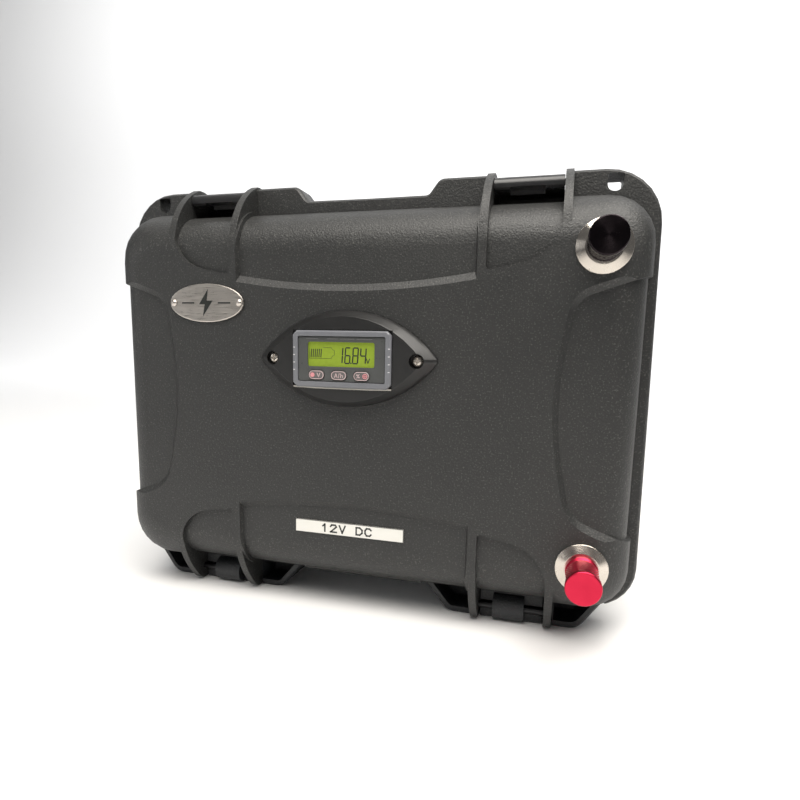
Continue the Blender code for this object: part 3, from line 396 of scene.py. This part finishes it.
FOAM = moulded("foam", (0.035, 0.035, 0.038), (0.06, 0.06, 0.064), 0.9, 1.6, 0.25)
CELL = moulded("cell_film", (0.02, 0.10, 0.36), (0.03, 0.14, 0.44), 0.30, 0.7, 0.004, coat=0.3)
GLASSFIBRE = moulded("glassfibre", (0.45, 0.42, 0.22), (0.56, 0.52, 0.30), 0.45, 0.5, 0.02)
COPPER = metal("copper", (0.62, 0.30, 0.17), (0.80, 0.42, 0.26), 0.26, 0)
BRASS = metal("shunt_brass_metal", (0.58, 0.42, 0.18), (0.74, 0.56, 0.28), 0.30, 2)
BMS = metal("bms_metal", (0.07, 0.08, 0.09), (0.11, 0.12, 0.13), 0.38, 2)
FUSE = moulded("fuse_plastic", (0.42, 0.38, 0.28), (0.52, 0.47, 0.36), 0.5)
WIRE_RED = moulded("wire_red", (0.42, 0.02, 0.02), (0.52, 0.03, 0.03), 0.42, 0.8, 0.01)
WIRE_BLACK = moulded("wire_black", (0.016, 0.016, 0.016), (0.024, 0.024, 0.024), 0.42, 0.8, 0.01)
WIRE_GREY = moulded("wire_grey", (0.15, 0.15, 0.16), (0.20, 0.20, 0.21), 0.42, 0.8, 0.01)

BY_SLOT = {"case_black": CASE_TONE_AND_SHADE, "lid_black": LID, "latch_black": LATCH, "handle_black": HANDLE,
           "bezel_black": BEZEL, "valve_black": VALVE, "rubber_black": RUBBER, "pin_steel": PIN,
           "turned_stainless": STAINLESS_AND_REFLECTION, "zinc_steel": ZINC, "red_anodised": RED, "black_anodised": BLACK,
           "meter_grey": FRAME_GREY, "faceplate_grey": PANEL_GREY, "lcd_green": LCD, "button_grey": BUTTON,
           "badge_steel": BADGE, "label_white": LABEL, "foam_grey": FOAM, "cell_blue": CELL,
           "end_plate": GLASSFIBRE, "copper_bar": COPPER, "shunt_brass": BRASS, "bms_case": BMS,
           "fuse_body": FUSE, "cable_red": WIRE_RED, "cable_black": WIRE_BLACK, "cable_grey": WIRE_GREY}


# ---------------------------------------------------------------- pieces
CABLES = ("lead_positive", "lead_negative", "meter_harness")
FOAM_NODES = ("foam_tray", "lid_pad")


def make_nodes():
    """Every CAD node but the cables, with edges softened by the width given, in millimetres."""
    for node in sorted(NODES):
        if node in CABLES:
            continue
        soft = 1.2 if node in FOAM_NODES else 0.35
        if node.startswith(("meter_", "badge_rivet", "bezel_screw", "rating")):
            soft = 0.15
        made = refined(node, BY_SLOT[SLOTS[node]], soft)


def make_cables():
    """Each cable as one round tube along its path, with arcs at its bends, shown in place of its CAD node."""
    paths = {
        "lead_positive": ([(134.0, 96.0, 2.4), (136.0, 88.0, -52.0), (140.3, 58.0, -99.7), (140.3, 21.4, -99.7)],
                          16.0, 4.0),
        "lead_negative": ([(122.0, 76.0, -72.4), (122.0, 76.0, -85.5), (124.0, 48.0, -98.0), (127.0, 13.65, -99.5),
                           (127.0, 13.65, 67.6)], 9.0, 4.0),
        "meter_harness": ([(20.5, 15.6, 26.2), (32.5, 15.6, 26.2), (112.0, 14.0, 20.0), (117.8, 13.6, -20.0),
                           (117.8, 13.5, -96.0), (115.6, 44.0, -94.0), (111.8, 66.0, -80.0), (111.8, 70.0, -64.0)],
                          8.0, 1.5)}
    for name, (knots, bend, r) in paths.items():
        bm = bmesh.new()
        tube(bm, curve(knots, bend), r)
        obj = shape("fine_" + name, BY_SLOT[SLOTS[name]], bm, True, CABLE_SHARP)
        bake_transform(obj)
        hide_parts(name)


SEGMENTS = {"1": "bc", "6": "afgedc", "8": "abcdefg", "4": "fgbc"}


def digit(bm, x, z, w, h, which, y0, y1):
    """One slanted seven-segment figure with its lower left corner at x, z."""
    lean, stroke, gap = 0.06, 0.75, 0.55

    def p(u, v):
        return x + u * w + lean * v * h, z + v * h
    ends = {"a": ((0, 1), (1, 1)), "g": ((0, 0.5), (1, 0.5)), "d": ((0, 0), (1, 0)), "f": ((0, 0.5), (0, 1)),
            "b": ((1, 0.5), (1, 1)), "e": ((0, 0), (0, 0.5)), "c": ((1, 0), (1, 0.5))}
    for key in SEGMENTS[which]:
        a, b = (Vector(p(*end)) for end in ends[key])
        d = (b - a).normalized() * gap
        bar(bm, *(a + d), *(b - d), stroke, y0, y1)


def make_display():
    """The display's figures, its unit and its battery sign, and four dashes on the panel above it."""
    y0, y1 = -7.1, -6.95
    bm = bmesh.new()
    for x, w, which in ((-4.6, 3.4, "1"), (0.5, 3.0, "6"), (5.3, 3.1, "8"), (10.0, 3.2, "4")):
        digit(bm, x, 24.0, w, 9.0, which, y0, y1)
    slab(bm, disc(4.35, 24.1, 0.45, 8), y0, y1)
    bar(bm, 13.9, 26.9, 14.7, 24.5, 0.45, y0, y1)
    bar(bm, 15.8, 26.9, 14.9, 24.5, 0.45, y0, y1)
    for k in range(6):
        bar(bm, -20.8 + 1.25 * k, 27.4, -20.5 + 1.25 * k, 31.8, 0.55, y0, y1)
    battery = [(-13.4, 32.9), (-8.0, 32.9), (-7.3, 31.9), (-6.0, 31.2), (-6.0, 28.6), (-7.3, 27.9), (-8.0, 26.6),
               (-21.8, 26.4), (-21.8, 32.6)]
    bars(bm, battery, 0.16, y0, y1)
    piece("lcd_figures", "lid", INK, bm)
    bm = bmesh.new()
    dash_z = 38.0
    for x0, x1 in ((-23.2, -16.0), (-10.0, -3.5), (-1.8, 6.6), (8.4, 17.6)):
        bar(bm, x0, dash_z, x1, dash_z, 0.35, -8.3, -8.15)
    piece("panel_marks", "lid", inked("grey_ink", (0.14, 0.14, 0.14), 0.4), bm)


# Strokes on each button from its middle: x0, z0, x1, z1, width; and small discs: x, z, radius
BUTTON_STROKES = {
    "left": [(0.6, 1.1, 1.5, -1.1, 0.45), (2.4, 1.1, 1.5, -1.1, 0.45)],
    "middle": [(-2.4, -1.1, -1.6, 1.1, 0.4), (-0.8, -1.1, -1.6, 1.1, 0.4), (-2.0, -0.3, -1.2, -0.3, 0.4),
               (0.0, -1.3, 0.5, 1.3, 0.3), (1.4, -1.1, 1.4, 1.1, 0.4), (2.6, -1.1, 2.6, 0.2, 0.4),
               (1.5, 0.2, 2.5, 0.2, 0.4)],
    "right": [(-2.6, -1.1, -1.2, 1.1, 0.35)]}
BUTTON_DISCS = {"right": [(-2.5, 0.7, 0.45), (-1.3, -0.7, 0.45)]}


def make_button_faces():
    """Each button's printed outline and sign, and the pink dot or crossed ring beside the outer two signs."""
    z = BUTTON_Z
    y0, y1 = -8.95, -8.72
    for where, cx in BUTTON_X.items():
        bm = bmesh.new()
        hoop(bm, pill(cx, z, 9.3, 4.9), pill(cx, z, 8.6, 4.2), y0, -8.7)
        for ax, az, bx, bz, width in BUTTON_STROKES[where]:
            bar(bm, cx + ax, z + az, cx + bx, z + bz, width, y0, y1)
        for dx, dz, r in BUTTON_DISCS.get(where, []):
            slab(bm, disc(cx + dx, z + dz, r, 8), y0, y1)
        piece("button_marks_" + where, where + "_button", PALE_INK, bm)
    y0, y1 = -8.97, -8.72
    bm = bmesh.new()
    slab(bm, disc(-19.2, z, 1.35), y0, y1)
    piece("button_dot_left", "left_button", PINK_INK, bm)
    bm = bmesh.new()
    cx, arm = 13.7, 0.7
    hoop(bm, disc(cx, z, 1.5), disc(cx, z, 1.05), y0, y1)
    bar(bm, cx - arm, z, cx + arm, z, 0.4, y0, y1)
    bar(bm, cx, z - arm, cx, z + arm, 0.4, y0, y1)
    piece("button_dot_right", "right_button", PINK_INK, bm)


def make_meter_trim():
    """The clear ticks where the meter's clips show through its frame, and the bead that seals it."""
    bm = bmesh.new()
    for x in (-31.0, 28.0):
        for k in range(4):
            z = METER_Z + 6.6 - 4.4 * k
            bar(bm, x - 0.3, z, x + 0.4, z, 0.5, -9.05, -8.9)
    piece("frame_ticks", "lid", TICK, bm)
    bm = bmesh.new()
    bead = [(-32.0, -7.6, 9.6), (-18.0, -7.7, 9.2), (2.0, -7.7, 9.1), (17.0, -7.7, 9.2), (29.2, -7.6, 9.5)]
    tube(bm, curve(bead, 4.0, 3), 0.45, 8)
    piece("sealant_bead", "lid", SEALANT, bm, True)


def make_badge_icon():
    """A generic bolt between two dashes, engraved in dark enamel."""
    y0, y1 = -1.62, -1.45
    bm = bmesh.new()
    bolt = [(1.6, 8.4), (-5.0, -0.9), (-0.9, -0.9), (-2.4, -8.4), (4.8, 1.4), (0.6, 1.4)]
    slab(bm, [(BADGE_X + x, BADGE_Z + z) for x, z in bolt], y0, y1)
    for side in (-1, 1):
        bar(bm, BADGE_X + side * 9.0, BADGE_Z, BADGE_X + side * 17.0, BADGE_Z, 0.9, y0, y1)
    piece("badge_icon", "lid", INK, bm)


# Each character is one line through points in a unit square
CHARACTERS = {
    "1": [(0.15, 0.75), (0.5, 1.0), (0.5, 0.0)],
    "2": [(0.0, 0.78), (0.2, 1.0), (0.8, 1.0), (1.0, 0.76), (0.0, 0.0), (1.0, 0.0)],
    "V": [(0.0, 1.0), (0.5, 0.0), (1.0, 1.0)],
    "D": [(0.0, 0.0), (0.0, 1.0), (0.6, 1.0), (1.0, 0.7), (1.0, 0.3), (0.6, 0.0), (0.0, 0.0)],
    "C": [(1.0, 0.8), (0.75, 1.0), (0.25, 1.0), (0.0, 0.7), (0.0, 0.3), (0.25, 0.0), (0.75, 0.0), (1.0, 0.2)]}


def make_label_text():
    """Generic rating on the label, a voltage and its kind, and the label's printed edge."""
    wide, high, step, space = 3.9, 4.6, 5.9, 5.4
    bm = bmesh.new()
    x, z = LABEL_TEXT_X, LABEL_TEXT_Z
    for ch in "12V DC":
        if ch == " ":
            x += space
            continue
        bars(bm, [(x + u * wide, z + v * high) for u, v in CHARACTERS[ch]], 0.95, 2.1, 2.25)
        x += step
    piece("label_marks", "lid", INK, bm)
    bm = bmesh.new()
    edge = [(-36.2, -84.9), (36.0, -84.9), (36.0, -76.4), (-36.2, -76.4)]
    inner = [(-35.9, -84.6), (35.7, -84.6), (35.7, -76.7), (-35.9, -76.7)]
    hoop(bm, edge, inner, 2.12, 2.3)
    piece("label_edge", "lid", INK, bm)


def make_knurl(pole, z, mat):
    """Raised knurl on the grip of a terminal's knob: rings of small pyramids, every other ring half a step on."""
    around, rings, first_y, pitch = 44, 9, -10.6, 1.55
    sunk, skirt, tip_r = 8.2, 8.45, 8.85
    half = math.pi / around
    bm = bmesh.new()

    def spot(r, t, y):
        return TERMINAL_X + r * math.cos(t), y, z + r * math.sin(t)

    for k in range(around):
        for j in range(rings):
            y = first_y - pitch * j
            t = 2.0 * math.pi * k / around + (half if int(round(y / pitch)) % 2 else 0.0)
            tip = bm.verts.new(spot(tip_r, t, y))
            base = bm.verts.new(spot(sunk, t, y))
            corners = ((-half * 0.92, 0.0), (0.0, -0.72), (half * 0.92, 0.0), (0.0, 0.72))
            verts = [bm.verts.new(spot(skirt, t + dt, y + dy)) for dt, dy in corners]
            for i in range(4):
                bm.faces.new((verts[i], verts[(i + 1) % 4], tip))
                bm.faces.new((verts[(i + 1) % 4], verts[i], base))
    piece("knob_knurl_" + pole, pole + "_knob", mat, bm)


make_nodes()
make_cables()
make_display()
make_button_faces()
make_meter_trim()
make_badge_icon()
make_label_text()
make_knurl("negative", NEGATIVE_Z, BLACK)
make_knurl("positive", POSITIVE_Z, RED)


# ---------------------------------------------------------------- studio
def make_camera():
    """The photograph's view: in front, to the right of the middle, turned left and tipped a little."""
    place = (0.1205, -0.3783, 0.1718)
    data = bpy.data.cameras.new("camera")
    cam = bpy.data.objects.new("camera", data)
    bpy.context.scene.collection.objects.link(cam)
    right = Vector((0.963, 0.269, 0.021))
    forward = Vector((-0.263, 0.953, -0.149)).normalized()
    right = (right - right.dot(forward) * forward).normalized()
    up = right.cross(forward)
    turn = Matrix((right, up, -forward)).transposed()
    cam.matrix_world = Matrix.Translation(place) @ turn.to_4x4()
    data.sensor_width = 36.0
    data.lens = 25.23
    data.shift_y = 0.0393
    data.clip_start = 0.01
    data.clip_end = 50.0
    bpy.context.scene.camera = cam


def make_room():
    """A pale floor that sweeps up into a backdrop."""
    white = Graph("room_white")
    white.set(base=(0.86, 0.86, 0.86, 1.0), rough=0.9)
    sweep, side, top = 2.0, 9.0, 8.0
    outline = [(-6.0, 0.0)]
    for k in range(13):
        t = math.pi / 24 * k
        outline.append((sweep + sweep * math.sin(t), sweep - sweep * math.cos(t)))
    outline.append((2.0 * sweep, top))
    verts = [(x, y, z) for x in (-side, side) for y, z in outline]
    count = len(outline)
    faces = [(k, k + 1, count + k + 1, count + k) for k in range(count - 1)]
    mesh = bpy.data.meshes.new("room")
    mesh.from_pydata(verts, [], faces)
    for face in mesh.polygons:
        face.use_smooth = True
    mesh.materials.append(white.material)
    link(mesh, "room")


def area_light(name, place, target, size, power, colour=(1.0, 1.0, 1.0)):
    """A rectangular light of this many watts at a place, facing a target."""
    data = bpy.data.lights.new(name, "AREA")
    data.shape = "RECTANGLE"
    data.size, data.size_y = size
    data.energy = power
    data.color = colour
    lamp = bpy.data.objects.new(name, data)
    bpy.context.scene.collection.objects.link(lamp)
    lamp.location = place
    lamp.rotation_mode = "QUATERNION"
    lamp.rotation_quaternion = (Vector(target) - Vector(place)).to_track_quat("-Z", "Y")


make_camera()
make_room()
area_light("top_light", (0.25, -0.42, 1.2), (0.0, 0.0, 0.22), (1.5, 0.8), 31.0, (1.0, 0.96, 0.90))
area_light("left_light", (-1.5, -0.9, 0.6), (0.0, 0.0, 0.14), (0.6, 0.6), 3.0)
area_light("backdrop_light", (-0.6, 1.7, 3.4), (-1.0, 4.2, 1.2), (7.0, 0.8), 210.0)
world = bpy.data.worlds.new("studio")
bpy.context.scene.world = world
world.use_nodes = True
sky = world.node_tree.nodes["Background"].inputs
sky["Color"].default_value = (1.0, 1.0, 1.0, 1.0)
sky["Strength"].default_value = 0.15
bpy.context.scene.view_settings.view_transform = "Standard"
